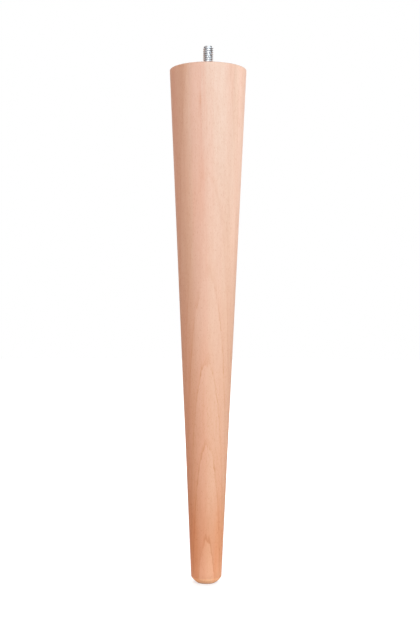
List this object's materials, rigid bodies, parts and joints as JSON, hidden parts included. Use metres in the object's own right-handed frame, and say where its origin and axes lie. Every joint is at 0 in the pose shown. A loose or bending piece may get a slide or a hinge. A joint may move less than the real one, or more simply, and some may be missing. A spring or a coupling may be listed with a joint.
{
  "type": "furniture leg",
  "caption": "Straight-tapered round wooden furniture leg with a bevelled foot and a threaded steel stud standing up from its crown, for screwing into a mounting plate.",
  "frame": {"origin": "centre of the foot's flat underside, where the leg meets the floor", "axes": "+Z along the leg's axis, from the foot to the stud; X and Y are free, because the leg is round"},
  "size_m": [0.0899, 0.09, 0.6285],
  "materials": {
    "beech": "sanded, unfinished",
    "zinc_steel": "bright zinc plate"
  },
  "bodies": {
    "root": {"turned_leg": "beech", "hanger_bolt": "zinc_steel"}
  },
  "joints": []
}
